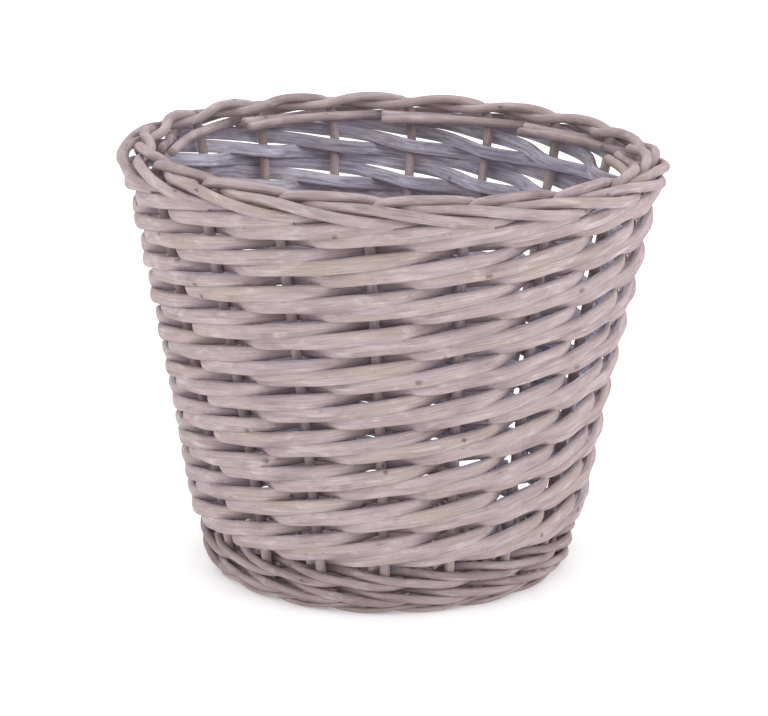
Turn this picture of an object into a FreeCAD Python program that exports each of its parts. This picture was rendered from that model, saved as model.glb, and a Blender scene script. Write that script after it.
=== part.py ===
import FreeCAD, Part
import math
import os

# Wicker log basket: a round, flared basket of willow rods on a woven base.
# Every rod is one solid. Millimetres; +Z is up; the origin is the middle of the
# base on the floor. Angles are counted from the front (-Y), anticlockwise from above.

os.makedirs("parts", exist_ok=True)

# Overall sizes
rim_height = 321.0        # floor to the top of the border
foot_radius = 127.4       # the stakes' middle line, carried down to the floor
flare = 0.1406            # how far the stakes lean outward for each unit of height
flare_curve = 0.000132    # how much they lean on outward, for the height squared
wall_twist = -5.3         # turn of the stakes round the axis from base to rim, in degrees
stake_count = 18          # an even number, because each base stick serves two stakes
front_turn = -0.5         # turn of the first stake from the front, in degrees

# Rods
stake_d = 7.6
weaver_d = 7.4
upsett_d = 5.8
foot_d = 4.0
stick_d = 6.0
base_weaver_d = 4.0
rod_gap = 0.3             # air between rods that lie against each other

# Wall weave: each weaver goes behind one stake and in front of two as it climbs
row_gap = 1.48            # least air between one weaver and the next one above
wall_gap = 0.1            # air between the upsett and the weavers' butts
wall_bend = 30.0          # bend radius of a weaver round a stake
front_bow = 4.0           # how far a weaver bows out between its two front stakes
butt_length = 0.25        # what a weaver has before its first stake, in bays
tip_length = 0.05         # what a weaver runs on past its last stake, in bays

# Border
border_drop = 2.58        # the last weaver's middle below the border's, in rods
border_bend = 26.0
wall_sweep = 5000.0       # bend radius of a stake along the curve of the wall
long_tail = 5.4           # where a border tail is cut, in bays from its own stake
short_tail = 4.4

# Upsett: three thin rods waled round the foot of the stakes
upsett_rounds = 2
upsett_bend = 14.0
upsett_nest = 0.935       # how far the upsett stands over the foot, 1 if it were right above it

# Base
floor_gap = 0.2           # air between the base weaving and the floor
base_inset = 9.4          # how far a base stick ends inside the stakes' middle line
slath_half = 17.0         # where the sticks leave the crossing and fan out
fan_radius = 42.0         # where the fanned sticks all lie at one level
stake_grip = 33.0         # how far a stake is pushed into the base weave
elbow = 10.0              # bend radius of a stake where it leaves the base
binding_rounds = 3
base_bend = 3.5
crest_shoulder = 0.2      # how far a crest of the weave runs past what it covers, in stakes


def polar(angle, radius, height):
    """Point at an angle from the front, in degrees, a radius from the axis and a height."""
    turn = math.radians(angle)
    return FreeCAD.Vector(radius * math.sin(turn), -radius * math.cos(turn), height)


def wall_radius(height):
    """How far the stakes' middle line is from the axis."""
    return foot_radius + flare * height + flare_curve * height**2


def wall_point(angle, height, outward):
    """Point that far outward of the stakes' middle line at this height."""
    turned = angle + wall_twist * (height - base_level) / rim_height
    return polar(turned, wall_radius(height) + outward, height)


def rod(points, diameter, bends):
    """Round rod whose middle line is straight runs joined by tangent arcs.

    The bend radius is one for all corners or a list with one for each. Each arc
    has it, or the largest radius that its two runs leave room for.
    """
    edges = []
    start = points[0]
    if not isinstance(bends, list):
        bends = [bends] * (len(points) - 2)
    for before, corner, after, bend in zip(points, points[1:], points[2:], bends):
        run_in = corner - before
        run_out = after - corner
        half_turn = run_in.getAngle(run_out) / 2
        room = 0.45 * min(run_in.Length, run_out.Length)
        reach = min(bend * math.tan(half_turn), room)
        run_in.normalize()
        run_out.normalize()
        arc_start = corner - run_in * reach
        arc_end = corner + run_out * reach
        inward = run_out - run_in
        inward.normalize()
        rise = reach / math.sin(half_turn) - reach / math.tan(half_turn)
        edges.append(Part.LineSegment(start, arc_start).toShape())
        edges.append(Part.Arc(arc_start, corner + inward * rise, arc_end).toShape())
        start = arc_end
    edges.append(Part.LineSegment(start, points[-1]).toShape())
    path = Part.Wire(edges)
    circle = Part.Circle(points[0], points[1] - points[0], diameter / 2).toShape()
    return path.makePipeShell([Part.Wire(circle)], True, False)


def corner_cut(bend, turn):
    """How far an arc passes inside its corner, for a turn in degrees."""
    return bend * (1 / math.cos(math.radians(turn) / 2) - 1)


def save(name, solid):
    solid.exportStep("parts/" + name + ".step")


bay = 360.0 / stake_count
top_run = rim_height - stake_d / 2
lay = stake_d + rod_gap
base_lift = (stake_d + base_weaver_d) / 2 + rod_gap
base_level = floor_gap + base_weaver_d / 2 + base_lift
base_radius = foot_radius - base_inset
upsett_start = bay * (stake_count // 2)       # the upsett starts at the back


def stake_angle(number):
    return front_turn + bay * number


# Stakes. Each one is pushed into the base, bent up for the wall, and at the top
# bent over to the right to make one stroke of the border: behind the next stake,
# out under that stake's own bend, down in front of two more, and in to its tail.
# Each border point is in bays from the stake, rods outward and rods below the top.
border_route = [
    (0.0, 0.0, 1.0),
    (0.35, -0.07, 0.0),
    (0.7, -0.3, 0.0),
    (1.0, -1.15, 0.5),
    (1.2, -1.0, 1.1),
    (1.5, 0.5, 1.3),
    (2.0, 1.3, 0.95),
    (2.5, 1.9, 1.55),
    (3.0, 2.17, 2.12),
    (3.5, 0.82, 2.28),
    (4.0, -1.15, 2.03),
]
long_tail_route = [(4.6, -1.75, 2.05), (long_tail, -2.23, 2.3)]
short_tail_route = [(short_tail, -1.35, 1.96)]
wall_shares = [0.2, 0.4, 0.6, 0.8]     # heights where a stake follows the wall's curve


def stake_path(number):
    angle = stake_angle(number)
    points = [
        polar(angle, base_radius - stake_grip, base_level),
        wall_point(angle, base_level, 0),
    ]
    for share in wall_shares:
        points.append(wall_point(angle, share * rim_height, 0))
    tail = long_tail_route if number % 2 == 0 else short_tail_route
    for bays, outward, drop in border_route + tail:
        height = top_run - lay * drop
        points.append(wall_point(angle + bay * bays, height, lay * outward))
    return points


def stake_bends(number):
    """The elbow, then the wall's gentle curve, then the corners of the border."""
    wall = [wall_sweep] * len(wall_shares)
    border = len(stake_path(number)) - 3 - len(wall)
    return [elbow] + wall + [border_bend] * border


def make_stakes():
    for number in range(stake_count):
        solid = rod(stake_path(number), stake_d, stake_bends(number))
        save(f"stake_{number + 1:02d}", solid)


# Foot. Two thin rods twisted round each other lie under the stakes' bends. They are
# side by side under each stake, and one over the other between stakes.
foot_points = 4           # points of the path in each bay
foot_lay = (foot_d + rod_gap) / math.cos(math.pi / (2 * foot_points))
foot_outward = 2.0        # the pair's middle, outward of the stakes' middle line
foot_level = (foot_d + foot_lay) / 2


def foot_path(side):
    points = []
    for step in range(foot_points * stake_count):
        bays = step / foot_points
        twist = math.pi * bays
        outward = foot_outward + side * foot_lay / 2 * math.cos(twist)
        height = foot_level + side * foot_lay / 2 * math.sin(twist)
        points.append(wall_point(upsett_start + stake_angle(bays), height, outward))
    return points


def make_foot():
    for number, side in ((1, 1), (2, -1)):
        save(f"foot_rod_{number}", rod(foot_path(side), foot_d, base_bend))


# Upsett. Three thin rods wale round the foot of the stakes, each in front of two
# and behind one. A stroke comes out above the last one and leaves below the next.
# Every round is level and steps up to the next one before it closes.
upsett_side = (stake_d + upsett_d) / 2 + rod_gap
upsett_lay = upsett_d + 2 * rod_gap
upsett_low = foot_level + upsett_nest * (foot_d + upsett_d) / 2
step_up = 3                                   # bays over which a round steps up

# what a stroke does at a stake, and half a bay further on: rods outward, rods up
behind_rise = 0.8
front_drop = 0.5
upsett_inside = upsett_low + (front_drop + behind_rise) * upsett_lay
upsett_strokes = [
    (-1.23, behind_rise, 0.1, 0.92),
    (1.0, front_drop, 1.15, 0.05),
    (1.0, -front_drop, 0.0, 0.0),
]


def upsett_level(place):
    """Height of the wale's middle at a place counted in bays from its start."""
    rounds, into = divmod(place, stake_count)
    stepped = max(0, into - stake_count + step_up) / step_up
    start = upsett_inside - behind_rise * upsett_lay
    return start + 2 * upsett_lay * (rounds + stepped)


def upsett_path(number):
    cut = corner_cut(upsett_bend, bay)
    points = []
    for step in range(upsett_rounds * stake_count - step_up - number):
        out, up, half_out, half_up = upsett_strokes[step % 3]
        place = number + step
        angle = upsett_start + stake_angle(place)
        height = upsett_level(place) + up * upsett_lay
        points.append(wall_point(angle, height, out * (upsett_side + cut)))
        height = upsett_level(place + 0.5) + half_up * upsett_lay
        points.append(wall_point(angle + bay / 2, height, half_out * upsett_side))
    return points


def make_upsett():
    for number in range(3):
        save(f"upsett_rod_{number + 1}", rod(upsett_path(number), upsett_d, upsett_bend))


# Weavers. There is one for each stake. It starts behind its own stake and rises
# by one rod at every stake, so three rods fill the height between two strokes
# of the same kind and no two weavers ever cross. Each ends in front of a stake,
# just under the border, and the rise at a stake is what fills the wall evenly.
last_inside = upsett_inside + 2 * upsett_lay * (upsett_rounds - 1)
butt_level = last_inside + (upsett_d + weaver_d) / 2 + rod_gap + wall_gap
weave_top = top_run - border_drop * lay
most_steps = (weave_top - butt_level) / (weaver_d + row_gap) - butt_length
weaver_steps = 3 * int((most_steps - 2) / 3) + 2
weaver_rise = (weave_top - butt_level) / (weaver_steps + butt_length)
wall_start = butt_level + weaver_rise * butt_length
weave_side = (stake_d + weaver_d) / 2 + rod_gap


def weaver_path(number):
    points = []
    for step in range(weaver_steps + 1):
        height = wall_start + weaver_rise * step
        chord = 2 * wall_radius(height) * math.sin(math.radians(bay) / 2)
        slant = math.degrees(math.asin(2 * weave_side / chord))
        if step % 3 == 0:
            outward = -weave_side - corner_cut(wall_bend, 2 * slant - bay)
        else:
            outward = weave_side + corner_cut(wall_bend, bay + slant)
        points.append(wall_point(stake_angle(number + step), height, outward))
        if step % 3 == 1 and step < weaver_steps:
            middle = stake_angle(number + step + 0.5)
            points.append(wall_point(middle, height + weaver_rise / 2, weave_side + front_bow))
    butt = wall_point(stake_angle(number - butt_length), butt_level, -weave_side)
    points.insert(0, butt)
    last = stake_angle(number + weaver_steps + tip_length)
    points.append(wall_point(last, height + weaver_rise * tip_length, weave_side))
    return points


def make_weavers():
    for number in range(stake_count):
        save(f"weaver_{number + 1:02d}", rod(weaver_path(number), weaver_d, wall_bend))


# Base sticks. Half of them cross over the other half in the middle of the base,
# then fan out until there is one stick beside each stake.
stick_lay = stick_d + rod_gap
stick_count = stake_count // 2
lower_count = (stick_count + 1) // 2
upper_count = stick_count - lower_count
stick_beside = (stick_d + stake_d) / 2 + rod_gap
stick_turn = math.degrees(math.asin(stick_beside / (base_radius - stake_grip)))


def stick_angle(number):
    return stake_angle(number) - stick_turn


def stick_rise(radius):
    """How far a stick stands above or below the base level at this radius."""
    fanned = (radius - slath_half) / (fan_radius - slath_half)
    return stick_lay / 2 * (1 - min(max(fanned, 0), 1))


def stick_path(first, place, count, layer):
    """Stick number place of a layer, from stick end number first + place to the far side."""
    near = stick_angle(first + place)
    far = near + 180
    opposite = stick_angle(first + count - 1 - place) + 180
    along = stick_angle(first + (count - 1) / 2)
    sideways = stick_lay * (place - (count - 1) / 2)
    slath = []
    for end in (1, -1):
        middle = polar(along, end * slath_half, base_level + layer * stick_rise(0))
        slath.append(middle + polar(along + 90, sideways, 0))
    fan = base_level + layer * stick_rise(fan_radius)
    return [
        polar(near, base_radius, base_level),
        polar(near, fan_radius, fan),
        slath[0],
        slath[1],
        polar(opposite, fan_radius, fan),
        polar(opposite, base_radius, base_level),
    ]


def make_sticks():
    number = 1
    for first, count, layer in ((0, lower_count, -1), (lower_count, upper_count, 1)):
        for place in range(count):
            points = stick_path(first, place, count, layer)
            save(f"base_stick_{number}", rod(points, stick_d, border_bend))
            number += 1


# Base binding. One thin rod ties the crossing: over the lower sticks' arms and
# under the upper sticks' arms, three times round.
binding_lay = base_weaver_d + rod_gap
binding_start = slath_half + 7.0
weave_start = fan_radius + binding_lay


def binding_path():
    points = []
    arms = [
        (stick_angle((lower_count - 1) / 2), -1, 0.47),
        (stick_angle(lower_count + (upper_count - 1) / 2), 1, 0.4),
    ]
    clear = (stick_d + base_weaver_d) / 2 + rod_gap
    for quarter in range(4 * binding_rounds):
        arm, layer, half_share = arms[quarter % 2]
        arm += 180 * (quarter // 2)
        for share in (-half_share, 0, half_share):
            turned = quarter + share
            radius = binding_start + binding_lay * turned / 4
            height = base_level + layer * (stick_rise(radius) - clear)
            points.append(polar(arm + 90 * share, radius, height))
    return points


def make_binding():
    save("base_binding_rod", rod(binding_path(), base_weaver_d, base_bend))


# Base weaving. Two rods chase each other outward, each over the sticks that the
# other goes under. Near the edge they go over and under a stick and its stake.
def base_weaver_path(number):
    points = []
    start = weave_start + binding_lay * number
    end = base_radius - base_weaver_d / 2
    turns = (end - start) / (2 * binding_lay)
    gripped = base_radius - stake_grip - base_weaver_d
    shoulder = crest_shoulder * stake_d
    for step in range(int(turns * stake_count)):
        radius = start + 2 * binding_lay * step / stake_count
        side = 1 if (step + number) % 2 == 0 else -1
        height = base_level + side * base_lift
        margin = math.degrees(shoulder / radius)
        last_rod = stake_angle(step) if radius > gripped else stick_angle(step)
        points.append(polar(stick_angle(step) - margin, radius, height))
        points.append(polar(last_rod + margin, radius, height))
    return points


def make_base_weavers():
    for number in range(2):
        points = base_weaver_path(number)
        save(f"base_weaver_{number + 1}", rod(points, base_weaver_d, base_bend))


make_stakes()
make_weavers()
make_upsett()
make_foot()
make_sticks()
make_binding()
make_base_weavers()
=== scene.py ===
import bpy
import numpy as np
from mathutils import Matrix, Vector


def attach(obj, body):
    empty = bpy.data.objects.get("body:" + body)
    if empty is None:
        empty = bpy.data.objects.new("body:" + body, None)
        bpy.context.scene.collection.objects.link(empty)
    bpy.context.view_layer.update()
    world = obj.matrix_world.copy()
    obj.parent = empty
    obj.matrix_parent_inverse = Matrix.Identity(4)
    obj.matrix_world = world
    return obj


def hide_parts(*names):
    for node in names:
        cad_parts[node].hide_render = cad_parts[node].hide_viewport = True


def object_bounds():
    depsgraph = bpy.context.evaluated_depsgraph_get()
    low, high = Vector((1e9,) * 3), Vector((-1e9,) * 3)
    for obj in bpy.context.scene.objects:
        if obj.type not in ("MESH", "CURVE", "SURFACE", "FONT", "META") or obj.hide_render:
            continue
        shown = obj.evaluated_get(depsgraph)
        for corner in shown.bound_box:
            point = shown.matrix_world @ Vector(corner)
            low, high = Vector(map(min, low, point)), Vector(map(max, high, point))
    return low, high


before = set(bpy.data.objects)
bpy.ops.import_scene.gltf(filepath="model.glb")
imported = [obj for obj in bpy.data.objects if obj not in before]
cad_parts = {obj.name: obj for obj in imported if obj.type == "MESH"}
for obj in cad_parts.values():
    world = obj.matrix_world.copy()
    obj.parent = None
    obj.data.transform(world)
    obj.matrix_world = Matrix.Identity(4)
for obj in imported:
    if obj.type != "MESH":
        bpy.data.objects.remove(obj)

cad_low, cad_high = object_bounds()

# ---------------------------------------------------------------------------
# Base sticks. Nine straight willow rods make the skeleton of the base: five lie
# under four, they cross in the middle and fan out to one stick beside each stake.

MM = 0.001
stake_count = 18
bay = 360 / stake_count
front_turn = -0.5
foot_radius = 127.4 * MM
stake_d = 7.6 * MM
stick_d = 6.0 * MM
base_weaver_d = 4.0 * MM
rod_gap = 0.3 * MM
base_inset = 9.4 * MM
base_radius = foot_radius - base_inset
slath_half = 17 * MM
fan_radius = 42 * MM
stake_grip = 33 * MM
base_lift = (stake_d + base_weaver_d) / 2 + rod_gap
floor_gap = 0.2 * MM
base_level = floor_gap + base_weaver_d / 2 + base_lift


def around(angle, radius, height):
    """Points at angles from the front, in degrees, anticlockwise from above:
    x is the radius times the sine, y is minus the radius times the cosine."""
    turn = np.radians(angle)
    x = radius * np.sin(turn)
    return np.stack([x, -radius * np.cos(turn), height + 0 * x], axis=-1)


def supple(corners, spacing):
    """Path of a springy rod. Each span is a parabola from the middle of one run
    to the middle of the next, with the corner between them as its control point.
    It comes back as evenly spaced points."""
    corners = np.asarray(corners, dtype=float)
    middles = (corners[:-1] + corners[1:]) / 2
    t = np.linspace(0, 1, 24, endpoint=False)[None, :, None]
    first, last = middles[:-1, None], middles[1:, None]
    spans = (1 - t) ** 2 * first + 2 * t * (1 - t) * corners[1:-1, None] + t**2 * last
    line = np.concatenate([corners[:1], spans.reshape(-1, 3), middles[-1:], corners[-1:]])
    return even(line, spacing)


def even(line, spacing):
    """The same line with points a fixed distance apart, measured along it."""
    along = np.concatenate([[0], np.cumsum(np.linalg.norm(np.diff(line, axis=0), axis=1))])
    places = np.linspace(0, along[-1], int(along[-1] / spacing) + 2)
    return np.stack([np.interp(places, along, line[:, axis]) for axis in range(3)], axis=-1)


def drift(seed, places, longest, amount):
    """Slow wandering along a rod: a sum of four sines, each half as long and
    half as strong as the one before, with seeded phases."""
    phases = np.random.default_rng(seed).uniform(0, 2 * np.pi, 4)
    steps = 2.0 ** np.arange(4)
    waves = np.sin(2 * np.pi * places[:, None] * steps / longest + phases) / steps
    return amount * waves.sum(axis=1) / 1.3


def unit(vectors):
    """Each vector divided by its own length."""
    return vectors / np.linalg.norm(vectors, axis=-1, keepdims=True)


def round_section(count=12):
    """Unit circle, from the outward side towards the upper side."""
    turn = np.linspace(0, 2 * np.pi, count, endpoint=False)
    return np.cos(turn), np.sin(turn)


# a bud scar is a low swelling of the bark: its half length, its half angle, its height
scar_long = 3.2 * MM
scar_angle = 0.5
scar_swell = 0.13
dome_height = 0.35


def rod(name, path, outward, thick, wide, section, seed, materials, knots, roll=0.0):
    """A rod carried along its path. At each point the section lies square to the
    path: its first coordinate, times half the thickness, goes outward, and its
    second, times half the width, goes across, both turned by roll radians. Bud scars
    are bells, exp(-x squared), about one to each stretch of knots long. Each end
    closes in a dome: a ring 0.8 as large as the end at 0.7 of the dome's height, and
    a tip."""
    step = np.linalg.norm(path[1] - path[0])
    places = np.arange(len(path)) * step
    forward = unit(np.gradient(path, axis=0))
    level = unit(np.cross(forward, outward))
    square = np.cross(level, forward)
    turned = np.broadcast_to(roll, places.shape)[:, None]
    across = level * np.cos(turned) - square * np.sin(turned)
    normal = square * np.cos(turned) + level * np.sin(turned)
    out, over = section
    rng = np.random.default_rng(seed)
    scars = np.arange(rng.uniform(0.2, 1) * knots, places[-1], knots)
    scars = scars + rng.uniform(-0.35, 0.35, scars.shape) * knots
    turns = rng.uniform(0, 2 * np.pi, scars.shape)
    ring_turn = np.arctan2(over, out)
    along = (places[:, None] - scars) / scar_long
    side = np.angle(np.exp(1j * (ring_turn[:, None] - turns))) / scar_angle
    bells = np.exp(-(along[:, None, :] ** 2) - side[None] ** 2)
    scar = bells.max(axis=2) if len(scars) else np.zeros((len(path), len(out)))
    swell = 1 + scar_swell * scar
    half_thick = np.broadcast_to(thick, places.shape)[:, None] / 2 * swell
    half_wide = np.broadcast_to(wide, places.shape)[:, None] / 2 * swell
    grid = (
        path[:, None]
        + normal[:, None] * (half_thick * out)[..., None]
        + across[:, None] * (half_wide * over)[..., None]
    )
    rings, count = len(path), len(out)
    domes = []
    for end, way in ((0, -1), (-1, 1)):
        reach = dome_height * half_thick[end, 0] * way * forward[end]
        inner = path[end] + 0.8 * (grid[end] - path[end]) + 0.7 * reach
        domes.append((inner, (path[end] + reach)[None]))
    points = np.concatenate(
        [grid.reshape(-1, 3), domes[0][0], domes[0][1], domes[1][0], domes[1][1]]
    )
    i, j = np.meshgrid(np.arange(rings - 1), np.arange(count), indexing="ij")
    k = (j + 1) % count
    quads = np.stack([i * count + j, i * count + k, (i + 1) * count + k, (i + 1) * count + j], -1)
    quads = quads.reshape(-1, 4)
    start_ring = rings * count
    end_ring = start_ring + count + 1
    ring = np.arange(count)
    after = (ring + 1) % count
    last = (rings - 1) * count
    rim_start = np.stack([start_ring + ring, start_ring + after, after, ring], -1)
    rim_end = np.stack([last + ring, last + after, end_ring + after, end_ring + ring], -1)
    fan_start = np.stack([start_ring + after, start_ring + ring, 0 * ring + start_ring + count], -1)
    fan_end = np.stack([end_ring + ring, end_ring + after, 0 * ring + end_ring + count], -1)
    faces = quads.tolist() + rim_start.tolist() + rim_end.tolist()
    faces += fan_start.tolist() + fan_end.tolist()
    mesh = bpy.data.meshes.new(name)
    mesh.from_pydata(points.tolist(), [], faces)
    # the surface is unrolled: along the rod and round it, both in metres
    girth = np.pi * (np.mean(thick) + np.mean(wide)) / 2
    shift = rng.uniform(0, 40)
    u = shift + places
    quad_u = np.stack([u[i], u[i], u[i + 1], u[i + 1]], -1).reshape(-1, 4)
    quad_v = np.stack([j, j + 1, j + 1, j], -1).reshape(-1, 4) * girth / count
    cap_v = np.stack([ring, ring + 1, ring + 1, ring], -1) * girth / count
    fan_v = np.stack([ring + 1, ring, ring + 0.5], -1) * girth / count
    all_u = np.concatenate([
        quad_u.ravel(), np.full(4 * count, u[0]), np.full(4 * count, u[-1]),
        np.full(3 * count, u[0]), np.full(3 * count, u[-1]),
    ])
    all_v = np.concatenate([
        quad_v.ravel(), cap_v.ravel(), cap_v.ravel(), fan_v.ravel(), fan_v[:, ::-1].ravel(),
    ])
    layer = mesh.uv_layers.new(name="unrolled")
    layer.data.foreach_set("uv", np.stack([all_u, all_v], -1).ravel())
    marks = mesh.attributes.new("scar", "FLOAT", "POINT")
    marks.data.foreach_set("value", np.concatenate([scar.ravel(), np.zeros(2 * count + 2)]))
    for material in materials:
        mesh.materials.append(material)
    flat_side = np.broadcast_to(out < -0.2, (rings - 1, count)).ravel().astype(int)
    kind = np.concatenate([
        flat_side if len(materials) > 2 else 0 * flat_side,
        np.full(4 * count, len(materials) - 1),
    ])
    mesh.polygons.foreach_set("material_index", kind)
    mesh.polygons.foreach_set("use_smooth", np.ones(len(faces), dtype=bool))
    mesh.validate()
    mesh.update()
    piece = bpy.data.objects.new(name, mesh)
    bpy.context.scene.collection.objects.link(piece)
    return piece


def linear(colour):
    """sRGB hex to the linear values that the shaders take."""
    value = np.array([int(colour[n:n + 2], 16) for n in (1, 3, 5)]) / 255
    value = np.where(value <= 0.04045, value / 12.92, ((value + 0.055) / 1.055) ** 2.4)
    return (*value, 1.0)


def node(tree, kind, settings=None, stops=(), **links):
    """Adds a node. settings are its own properties and stops its ramp's (place, colour)
    pairs. Each link is an input's name, with spaces as underscores, or its number as
    in_0, and the socket or value that goes there."""
    new = tree.nodes.new(kind)
    for key, value in (settings or {}).items():
        setattr(new, key, value)
    for number, (place, colour) in enumerate(stops):
        ramp = new.color_ramp.elements
        element = ramp[number] if number in (0, len(stops) - 1) else ramp.new(place)
        element.position = place
        element.color = linear(colour)
    for key, value in links.items():
        socket = new.inputs[int(key[3:]) if key.startswith("in_") else key.replace("_", " ")]
        if isinstance(value, bpy.types.NodeSocket):
            tree.links.new(value, socket)
        else:
            socket.default_value = value
    return new


def grown_willow(name, patches, warm, wash, dirt, fibre=0.5, streaks=0.5):
    """Willow that was grey-washed and left matt: slow patches of colour along a rod,
    warmer where the wash has worn off and paler where it stayed thick, under fine
    lines with the grain, dirt in flecks and bud scars. fibre is the lines' spacing."""
    material = bpy.data.materials.new(name)
    material.use_nodes = True
    tree = material.node_tree
    shader = tree.nodes["Principled BSDF"]
    unrolled = node(tree, "ShaderNodeUVMap", {"uv_map": "unrolled"}).outputs["UV"]
    noise = {}
    for key, along, over, detail in (
        ("patch", 55, 24, 3),        # millimetres along and round the rod
        ("worn", 130, 45, 2),
        ("film", 26, 9, 4),
        ("lines", 26, fibre * 2, 3),
        ("flecks", 7, 2.6, 2),
        ("lumps", 9, 3.5, 3),
    ):
        scale = (1 / (along * MM), 1 / (over * MM), 1)
        at = node(tree, "ShaderNodeMapping", in_0=unrolled, Scale=scale).outputs[0]
        noise[key] = node(
            tree, "ShaderNodeTexNoise", {"noise_dimensions": "2D"},
            Vector=at, Scale=1.0, Detail=detail, Roughness=0.6, Distortion=0.3,
        ).outputs["Fac"]
    scar = node(tree, "ShaderNodeAttribute", {"attribute_name": "scar"}).outputs["Fac"]
    colour = node(tree, "ShaderNodeValToRGB", stops=patches, Fac=noise["patch"]).outputs["Color"]
    for mask, low, high, most, over in (
        (noise["worn"], 0.5, 0.66, 0.55, warm),
        (noise["film"], 0.54, 0.72, 0.5, wash),
        (noise["flecks"], 0.68, 0.8, 0.3, dirt),
        (scar, 0.35, 0.95, 0.75, dirt),
    ):
        share = node(
            tree, "ShaderNodeMapRange", {"interpolation_type": "SMOOTHSTEP"},
            Value=mask, From_Min=low, From_Max=high, To_Min=0.0, To_Max=most,
        ).outputs[0]
        colour = node(
            tree, "ShaderNodeMix", {"data_type": "RGBA"},
            in_0=share, in_6=colour, in_7=linear(over),
        ).outputs[2]
    shade = node(
        tree, "ShaderNodeMapRange", Value=noise["lines"], From_Min=0.3, From_Max=0.7,
        To_Min=1 - 0.24 * streaks, To_Max=1 + 0.14 * streaks,
    ).outputs[0]
    colour = node(
        tree, "ShaderNodeVectorMath", {"operation": "SCALE"}, in_0=colour, Scale=shade
    ).outputs[0]
    tree.links.new(colour, shader.inputs["Base Color"])
    shader.inputs["Roughness"].default_value = 0.72
    shader.inputs["Specular IOR Level"].default_value = 0.3
    height = node(
        tree, "ShaderNodeMath", {"operation": "ADD"}, in_0=noise["lines"], in_1=noise["lumps"]
    ).outputs[0]
    bump = node(tree, "ShaderNodeBump", Height=height, Strength=0.6, Distance=0.4 * MM)
    tree.links.new(bump.outputs[0], shader.inputs["Normal"])
    return material


# clipped ends: rough end grain that scatters the light and looks a little paler
end_grain = bpy.data.materials.new("willow, clipped end grain")
end_grain.use_nodes = True
tree = end_grain.node_tree
place = node(tree, "ShaderNodeTexCoord").outputs["Object"]
grain = node(
    tree, "ShaderNodeTexNoise", Vector=place, Scale=900.0, Detail=3.0, Roughness=0.6
).outputs["Fac"]
colour = node(
    tree, "ShaderNodeValToRGB", stops=[(0.3, "#86777A"), (0.7, "#BCADA6")], Fac=grain
).outputs["Color"]
tree.links.new(colour, tree.nodes["Principled BSDF"].inputs["Base Color"])
tree.nodes["Principled BSDF"].inputs["Roughness"].default_value = 0.85

# thin rods: the wash is worn, so they look browner and darker than the wall
thin_willow = grown_willow(
    "willow, thin grey-washed rods",
    [(0.3, "#806F71"), (0.48, "#958386"), (0.6, "#A08F92"), (0.75, "#AC9C9D")],
    warm="#9A897E", wash="#BEB2B4", dirt="#4E3C39",
)


def on_frame(piece, node_name):
    """The piece is rigid with the basket and stands for its CAD rod."""
    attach(piece, "root")
    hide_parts(node_name)


def stake_angle(number):
    """Where that stake stands, in degrees from the front."""
    return front_turn + bay * number


stick_turn = np.degrees(np.arcsin(((stick_d + stake_d) / 2 + rod_gap) / (base_radius - stake_grip)))
stick_lay = stick_d + rod_gap
UP = np.array([0.0, 0.0, 1.0])


def stick_angle(number):
    """A stick lies beside its stake, a turn back by both their half widths."""
    return stake_angle(number) - stick_turn


def base_stick(first, place, count, layer):
    """Straight through the crossing, then out along its own ray on both sides."""
    near = stick_angle(first + place)
    opposite = stick_angle(first + count - 1 - place) + 180
    along = stick_angle(first + (count - 1) / 2)
    sideways = around(along + 90, stick_lay * (place - (count - 1) / 2), 0)
    level = base_level + layer * stick_lay / 2
    corners = [
        around(near, base_radius, base_level),
        around(near, (base_radius + fan_radius) / 2, base_level),
        around(near, fan_radius, base_level),
        around(along, slath_half, level) + sideways,
        around(along, 0, level) + sideways,
        around(along, -slath_half, level) + sideways,
        around(opposite, fan_radius, base_level),
        around(opposite, (base_radius + fan_radius) / 2, base_level),
        around(opposite, base_radius, base_level),
    ]
    return supple(corners, 3 * MM)


stick_number = 0
for first, count, layer in ((0, 5, -1), (5, 4, 1)):
    for place in range(count):
        stick_number += 1
        path = base_stick(first, place, count, layer)
        thick = stick_d * (1 - 0.05 * np.linspace(0, 1, len(path)))
        piece = rod(
            f"stick_{stick_number}", path, UP, thick, thick, round_section(), 100 + stick_number,
            [thin_willow, end_grain], knots=90 * MM,
        )
        on_frame(piece, f"base_stick_{stick_number}")

# ---------------------------------------------------------------------------
# Base binding and base weaving. One thin supple rod ties the crossing three times
# round; then two more chase each other outward, over and under the sticks.

binding_lay = base_weaver_d + rod_gap
binding_rounds = 3


def binding_path():
    """A spiral whose height steps over the lower sticks and under the upper ones."""
    quarters = np.arange(4 * binding_rounds)
    layer = np.where(quarters % 2 == 0, -1, 1)
    half = np.where(quarters % 2 == 0, 0.47, 0.4)
    middle = stick_angle(np.where(quarters % 2 == 0, 2, 6.5)) + 180 * (quarters // 2)
    share = np.array([-1, 0, 1])[None, :] * half[:, None]
    radius = slath_half + 7 * MM + binding_lay * (quarters[:, None] + share) / 4
    rise = stick_lay / 2 * (1 - np.clip((radius - slath_half) / (fan_radius - slath_half), 0, 1))
    clear = (stick_d + base_weaver_d) / 2 + rod_gap
    height = base_level + layer[:, None] * (rise - clear)
    corners = around(middle[:, None] + 90 * share, radius, height).reshape(-1, 3)
    return supple(corners, 2 * MM)


piece = rod(
    "slath_binding", binding_path(), UP, base_weaver_d, base_weaver_d, round_section(10), 120,
    [thin_willow, end_grain], knots=140 * MM,
)
on_frame(piece, "base_binding_rod")


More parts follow.
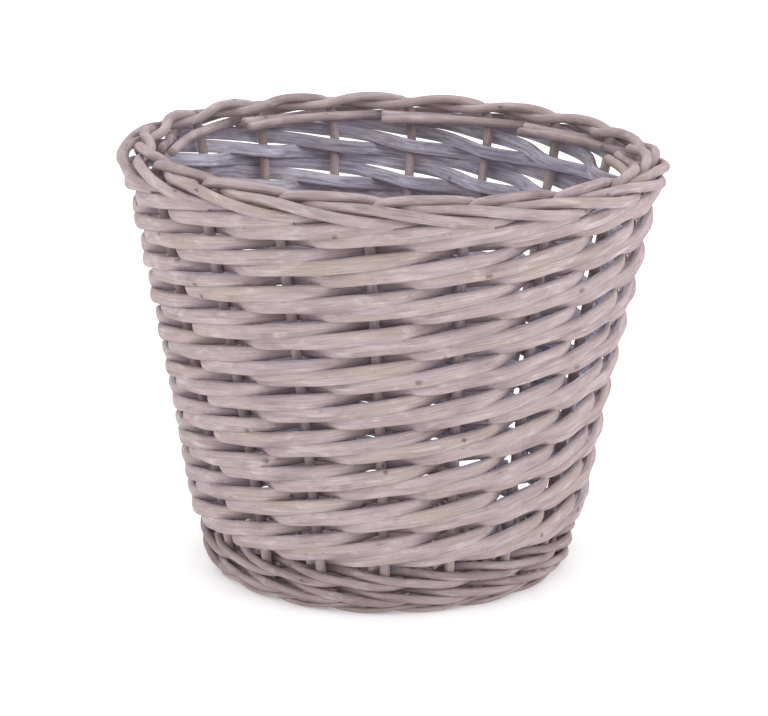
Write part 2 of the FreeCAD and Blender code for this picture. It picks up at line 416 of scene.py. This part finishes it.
def base_weaver_path(number):
    """A spiral that goes over one stick and under the next, as a rounded square wave.
    Near the edge each crest is long enough for a stick and the stake beside it."""
    start = fan_radius + binding_lay * (1 + number)
    end = base_radius - base_weaver_d / 2
    steps = np.arange(int((end - start) / (2 * binding_lay) * stake_count))
    radius = start + 2 * binding_lay * steps / stake_count
    side = np.where((steps + number) % 2 == 0, 1, -1)
    height = base_level + side * base_lift
    gripped = base_radius - stake_grip - base_weaver_d
    margin = np.degrees(0.2 * stake_d / radius)
    first = stick_angle(steps) - margin
    last = np.where(radius > gripped, stake_angle(steps), stick_angle(steps)) + margin
    crests = np.stack([around(first, radius, height), around(last, radius, height)], axis=1)
    return supple(crests.reshape(-1, 3), 2.2 * MM)


for number in range(2):
    path = base_weaver_path(number)
    piece = rod(
        f"base_chase_{number + 1}", path, UP, base_weaver_d, base_weaver_d, round_section(8),
        130 + number, [thin_willow, end_grain], knots=150 * MM,
    )
    on_frame(piece, f"base_weaver_{number + 1}")

# ---------------------------------------------------------------------------
# Foot. A twisted pair of thin rods lies under the stakes' bends: side by side
# under each stake, one over the other between stakes.

flare = 0.1406
flare_curve = 0.132        # more flare with height, per metre
wall_twist = -5.3          # degrees from the base to the rim
wall_swell = 2.0 * MM
lean = 0.015
rim_lift = 3.5 * MM
rim_tilt = (-7 * MM, 5 * MM)
foot_d = 4.0 * MM
foot_points = 4
foot_lay = (foot_d + rod_gap) / np.cos(np.pi / (2 * foot_points))
foot_level = (foot_d + foot_lay) / 2
foot_outward = 2.0 * MM
upsett_start = 180


def wall(angle, height, outward):
    """Points that far outward of the stakes' middle line. Its radius grows with the
    height and its square, and it turns a little round the axis as it rises. A real
    basket is uneven: this one stands a little fuller and leans to one side, and its
    rim is higher at the back and on the left."""
    height = np.asarray(height, dtype=float)
    rise = (height - base_level) / cad_high[2]
    radius = foot_radius + wall_swell + flare * height + flare_curve * height**2
    points = around(angle + wall_twist * rise, radius + outward, height)
    turn = np.radians(angle)
    raised = rim_lift + rim_tilt[0] * np.sin(turn) - rim_tilt[1] * np.cos(turn)
    points[..., 2] += raised * np.clip(rise, 0, 1) ** 4
    points[..., 0] += lean * height
    return points


def wall_normal(path):
    """Outward from the leaning wall: level and away from the axis, turned down by the lean."""
    level = unit(path * np.array([1, 1, 0]))
    return unit(level - flare * UP)


def foot_path(side):
    """A helix of one turn in two bays round the circle that the pair follows."""
    bays = np.arange(foot_points * stake_count) / foot_points
    outward = foot_outward + side * foot_lay / 2 * np.cos(np.pi * bays)
    height = foot_level + side * foot_lay / 2 * np.sin(np.pi * bays)
    return supple(wall(upsett_start + stake_angle(bays), height, outward), 2.2 * MM)


for number, side in ((1, 1), (2, -1)):
    path = foot_path(side)
    piece = rod(
        f"foot_twist_{number}", path, wall_normal(path), foot_d, foot_d, round_section(10),
        140 + number, [thin_willow, end_grain], knots=150 * MM,
    )
    on_frame(piece, f"foot_rod_{number}")

# ---------------------------------------------------------------------------
# Stakes. Eighteen whole round willow rods stand beside the base sticks. Each is
# bent up for the wall, and its own top is bent over as one stroke of the border.

elbow = 10 * MM
top_run = cad_high[2] - stake_d / 2
lay = stake_d + rod_gap
border_route = np.array([
    (0.0, 0.0, 1.0),
    (0.35, -0.07, 0.45),
    (0.7, -0.3, 0.42),
    (1.0, -1.15, 0.7),
    (1.2, -1.0, 1.1),
    (1.5, 0.5, 1.3),
    (2.0, 1.3, 0.95),
    (2.5, 1.9, 1.55),
    (3.0, 2.17, 2.12),
    (3.5, 0.82, 2.28),
    (4.0, -1.15, 2.03),
])
long_tail = [(4.6, -1.75, 2.05), (5.4, -2.23, 2.3)]
short_tail = [(4.4, -1.35, 1.96)]

# whole rods: the wash lies thick on smooth bark, a chalky mauve grey
round_willow = grown_willow(
    "willow, whole grey-washed rods",
    [(0.28, "#8A797C"), (0.44, "#9F8E91"), (0.56, "#AA999C"), (0.7, "#B4A4A6")],
    warm="#A6948A", wash="#C2B6B8", dirt="#4E3C39", streaks=0.8,
)


def stake_path(number):
    """In the base, up the wall, and through the border points: bays on, rods out, rods down."""
    angle = stake_angle(number)
    tail = long_tail if number % 2 == 0 else short_tail
    bays, outward, drop = np.concatenate([border_route, tail]).T
    bend = wall(angle, base_level, 0)
    along = around(angle, 1, 0)
    foot = [
        around(angle, base_radius - stake_grip, base_level),
        bend - 2 * elbow * along,
        bend - 0.7 * elbow * along,
        wall(angle, base_level + 0.7 * elbow, 0),
        wall(angle, base_level + 2 * elbow, 0),
    ]
    shares = np.array([0.25, 0.5, 0.75])
    upright = wall(angle + 0 * shares, shares * cad_high[2], 0)
    rim = wall(angle + bay * bays, top_run - lay * drop, lay * outward)
    return supple(np.concatenate([foot, upright, rim]), 2.5 * MM)


for number in range(stake_count):
    path = stake_path(number)
    thick = stake_d * (1 - 0.04 * np.linspace(0, 1, len(path)))
    thick = thick + drift(number, np.arange(len(path)) * 2.5 * MM, 0.2, 0.12 * MM)
    piece = rod(
        f"willow_stake_{number + 1:02d}", path, wall_normal(path), thick, thick,
        round_section(14), 200 + number, [round_willow, end_grain], knots=110 * MM,
    )
    on_frame(piece, f"stake_{number + 1:02d}")

# ---------------------------------------------------------------------------
# Upsett. Three thin rods are waled round the foot of the stakes, in front of two
# and behind one, and set them at their spacing before the wall is woven.

upsett_d = 5.8 * MM
upsett_side = (stake_d + upsett_d) / 2 + rod_gap
upsett_lay = upsett_d + 2 * rod_gap
upsett_rounds = 2
step_up = 3
behind_rise = 0.8
upsett_low = foot_level + 0.935 * (foot_d + upsett_d) / 2
upsett_inside = upsett_low + (0.5 + behind_rise) * upsett_lay


def upsett_level(place):
    """Height of the wale's middle: level through each round, then a ramp up to the next."""
    rounds, into = np.divmod(place, stake_count)
    stepped = np.maximum(0, into - stake_count + step_up) / step_up
    return upsett_inside - behind_rise * upsett_lay + 2 * upsett_lay * (rounds + stepped)


def upsett_path(number):
    """Behind, then outside above the last stroke, then outside below the next one."""
    strokes = np.array([
        (-1.23, behind_rise, 0.1, 0.92),
        (1.0, 0.5, 1.15, 0.05),
        (1.0, -0.5, 0.0, 0.0),
    ])
    steps = np.arange(upsett_rounds * stake_count - step_up - number)
    out, up, half_out, half_up = strokes[steps % 3].T
    place = number + steps
    angle = upsett_start + stake_angle(place)
    cut = 0.4 * MM
    at_stake = wall(angle, upsett_level(place) + up * upsett_lay, out * (upsett_side + cut))
    height = upsett_level(place + 0.5) + half_up * upsett_lay
    between = wall(angle + bay / 2, height, half_out * upsett_side)
    return supple(np.stack([at_stake, between], axis=1).reshape(-1, 3), 2.5 * MM)


for number in range(3):
    path = upsett_path(number)
    piece = rod(
        f"upsett_wale_{number + 1}", path, wall_normal(path), upsett_d, upsett_d * 1.05,
        round_section(12), 160 + number, [thin_willow, end_grain], knots=120 * MM,
    )
    on_frame(piece, f"upsett_rod_{number + 1}")

# ---------------------------------------------------------------------------
# Weavers. Eighteen split willow rods, one from each stake, climb side by side: in
# front of two stakes, behind the third. Round bark outside, flat pith inside.

weaver_d = 7.4 * MM
butt_length = 0.25
tip_length = 0.3
weaver_wide = 10.7 * MM
weaver_thick = 5.6 * MM
last_inside = upsett_inside + 2 * upsett_lay * (upsett_rounds - 1)
butt_level = last_inside + (upsett_d + weaver_d) / 2 + rod_gap + 0.1 * MM
weave_top = top_run - 2.58 * lay
most_steps = (weave_top - butt_level) / (weaver_d + 1.48 * MM) - butt_length
weaver_steps = 3 * int((most_steps - 2) / 3) + 2
weaver_rise = (weave_top - butt_level) / (weaver_steps + butt_length)
wall_start = butt_level + weaver_rise * butt_length


def split_section(count=20):
    """A half-round: the bark side is a low flat-topped arch, the split side nearly flat."""
    turn = np.linspace(0, 2 * np.pi, count, endpoint=False)
    arch = 1.1 * np.abs(np.cos(turn)) ** 0.6
    flat = -0.8 * np.abs(np.cos(turn)) ** 0.3
    return np.where(np.cos(turn) > 0.01, arch, flat), np.sin(turn)


# bark side: the same wash over bark that was shaved in places, so its colour varies more
split_bark = grown_willow(
    "willow, split rods, grey-washed bark side",
    [(0.26, "#8F7D80"), (0.42, "#A19093"), (0.55, "#AB9A9D"), (0.72, "#B6A6A8")],
    warm="#A9988F", wash="#C4B8BA", dirt="#4E3C39", streaks=0.8,
)
# pith side: bare wood that greyed in the dry, with a coarse open grain
split_pith = grown_willow(
    "willow, split rods, weathered pith side",
    [(0.25, "#958E9F"), (0.45, "#AFA9B9"), (0.6, "#BEB8C8"), (0.75, "#CDC7D5")],
    warm="#A59CA1", wash="#CBC5D2", dirt="#625A67", fibre=0.9, streaks=1.6,
)


def weaver_path(number):
    """Climbs one rod per bay. Outward it is a wave of three bays, a sum of three
    cosines: a short dip behind the stake at 0, in front at 1 and 2, and bowed out
    between them."""
    bays = np.arange(-butt_length, weaver_steps + tip_length, 0.05)
    turn = 2 * np.pi * bays / 3
    wave = 6.66 - 7.99 * np.cos(turn) - 3.61 * np.cos(2 * turn) - 1.96 * np.cos(3 * turn)
    outward = MM * wave + drift(300 + number, bays, 5.0, 0.35 * MM)
    height = wall_start + weaver_rise * bays + drift(330 + number, bays, 6.0, 0.45 * MM)
    return even(wall(stake_angle(number + bays), height, outward), 3 * MM)


for number in range(stake_count):
    path = weaver_path(number)
    places = np.arange(len(path)) * 3 * MM
    taper = 1.02 - 0.04 * np.linspace(0, 1, len(path))
    wide = weaver_wide * taper + drift(360 + number, places, 0.25, 0.6 * MM)
    thick = weaver_thick * taper + drift(390 + number, places, 0.2, 0.4 * MM)
    piece = rod(
        f"split_weaver_{number + 1:02d}", path, wall_normal(path), thick, wide,
        split_section(), 400 + number, [split_bark, split_pith, end_grain], knots=130 * MM,
        roll=drift(420 + number, places, 0.22, 0.16),
    )
    on_frame(piece, f"weaver_{number + 1:02d}")

# ---------------------------------------------------------------------------
# Studio. A pale seamless table, a soft box on each side and one above, and an even
# white surround.

floor_half = 6.0
mesh = bpy.data.meshes.new("studio_floor")
mesh.from_pydata(
    [(x * floor_half, y * floor_half, 0) for x, y in ((-1, -1), (1, -1), (1, 1), (-1, 1))],
    [], [(0, 1, 2, 3)],
)
floor = bpy.data.objects.new("studio_floor", mesh)
bpy.context.scene.collection.objects.link(floor)
# a white acrylic table lit softly from below, so that shadows on it all but vanish
acrylic = bpy.data.materials.new("white acrylic, lit from below")
acrylic.use_nodes = True
shader = acrylic.node_tree.nodes["Principled BSDF"]
shader.inputs["Base Color"].default_value = linear("#FAFAFA")
shader.inputs["Roughness"].default_value = 0.9
shader.inputs["Emission Color"].default_value = linear("#FFFFFF")
shader.inputs["Emission Strength"].default_value = 0.2
mesh.materials.append(acrylic)

world = bpy.data.worlds.new("studio surround")
world.use_nodes = True
world.node_tree.nodes["Background"].inputs["Color"].default_value = linear("#FFFFFF")
world.node_tree.nodes["Background"].inputs["Strength"].default_value = 1.12
bpy.context.scene.world = world
bpy.context.scene.view_settings.view_transform = "Standard"


def look(way):
    """Turns that point an object's -Z along a direction, with its top upward."""
    flat = np.hypot(way[0], way[1])
    return (np.arctan2(flat, -way[2]), 0, np.arctan2(-way[0], way[1]))


def soft_light(name, place, aim, size, power):
    """A square soft box at a place, turned to face the aim."""
    light = bpy.data.lights.new(name, "AREA")
    light.size = size
    light.energy = power
    lamp = bpy.data.objects.new(name, light)
    lamp.location = place
    lamp.rotation_euler = look(np.subtract(aim, place))
    bpy.context.scene.collection.objects.link(lamp)


soft_light("right_softbox", (1.6, -0.9, 1.1), (0, 0, 0.15), 1.0, 8)
soft_light("left_softbox", (-1.6, -0.9, 1.1), (0, 0, 0.15), 1.0, 5)
soft_light("top_softbox", (0.0, 0.1, 1.9), (0, 0, 0.2), 1.2, 4)

look_down = 15.5
camera_data = bpy.data.cameras.new("camera")
camera_data.sensor_width = 36
camera_data.lens = 111.0
camera = bpy.data.objects.new("camera", camera_data)
camera.location = (0.0, -1.716, 0.629)
camera.rotation_euler = (np.radians(90 - look_down), 0, 0)
camera_data.shift_x = -0.004
bpy.context.scene.collection.objects.link(camera)
bpy.context.scene.camera = camera
